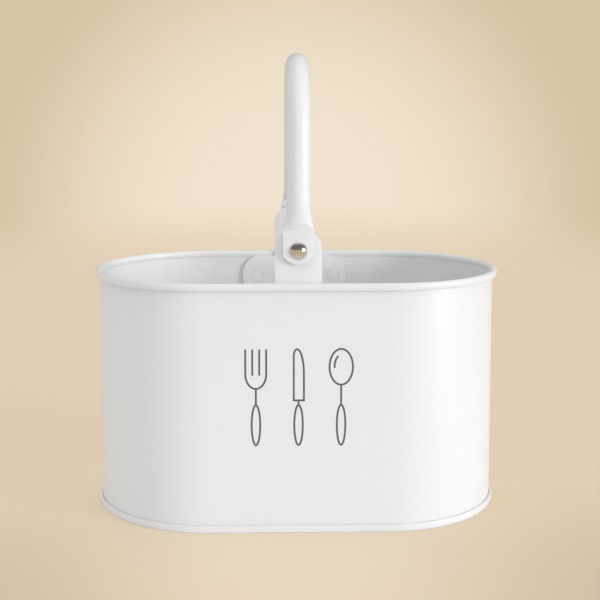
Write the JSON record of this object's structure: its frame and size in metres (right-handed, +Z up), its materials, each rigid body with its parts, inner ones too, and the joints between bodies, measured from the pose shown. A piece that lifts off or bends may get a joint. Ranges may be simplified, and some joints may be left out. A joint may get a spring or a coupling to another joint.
{
  "type": "cutlery caddy",
  "caption": "Sheet-steel cutlery caddy with half-round ends, a wired rim, a seamed base and a tube handle that swings on two rivets.",
  "frame": {"origin": "middle of the foot, on the table", "axes": "+Z up, +X along the length to the right as seen from the front, -Y out of the printed front"},
  "size_m": [0.2764, 0.1716, 0.3055],
  "materials": {
    "white_coat": "glossy white stoved coating",
    "plain_wire": "drawn steel wire, hidden in the rim",
    "washer_steel": "plain zinc-plated steel",
    "bright_rivet": "bright plated",
    "printed_motif": "dark grey printed line"
  },
  "bodies": {
    "tub": {"wall_shell": "white_coat", "rim_wire": "plain_wire", "base_pan": "white_coat", "front_bracket": "white_coat", "rear_bracket": "white_coat", "front_spacer_washer": "washer_steel", "rear_spacer_washer": "washer_steel", "front_rivet": "bright_rivet", "rear_rivet": "bright_rivet", "front_tail_washer": "washer_steel", "rear_tail_washer": "washer_steel"},
    "handle": {"handle_tube": "white_coat"}
  },
  "joints": [
    {"name": "handle_swing", "type": "hinge", "parent": "tub", "child": "handle", "pos_m": [0, 0, 0.1815], "axis": [0, 1, 0], "range_deg": [-96.5, 96.5]}
  ]
}
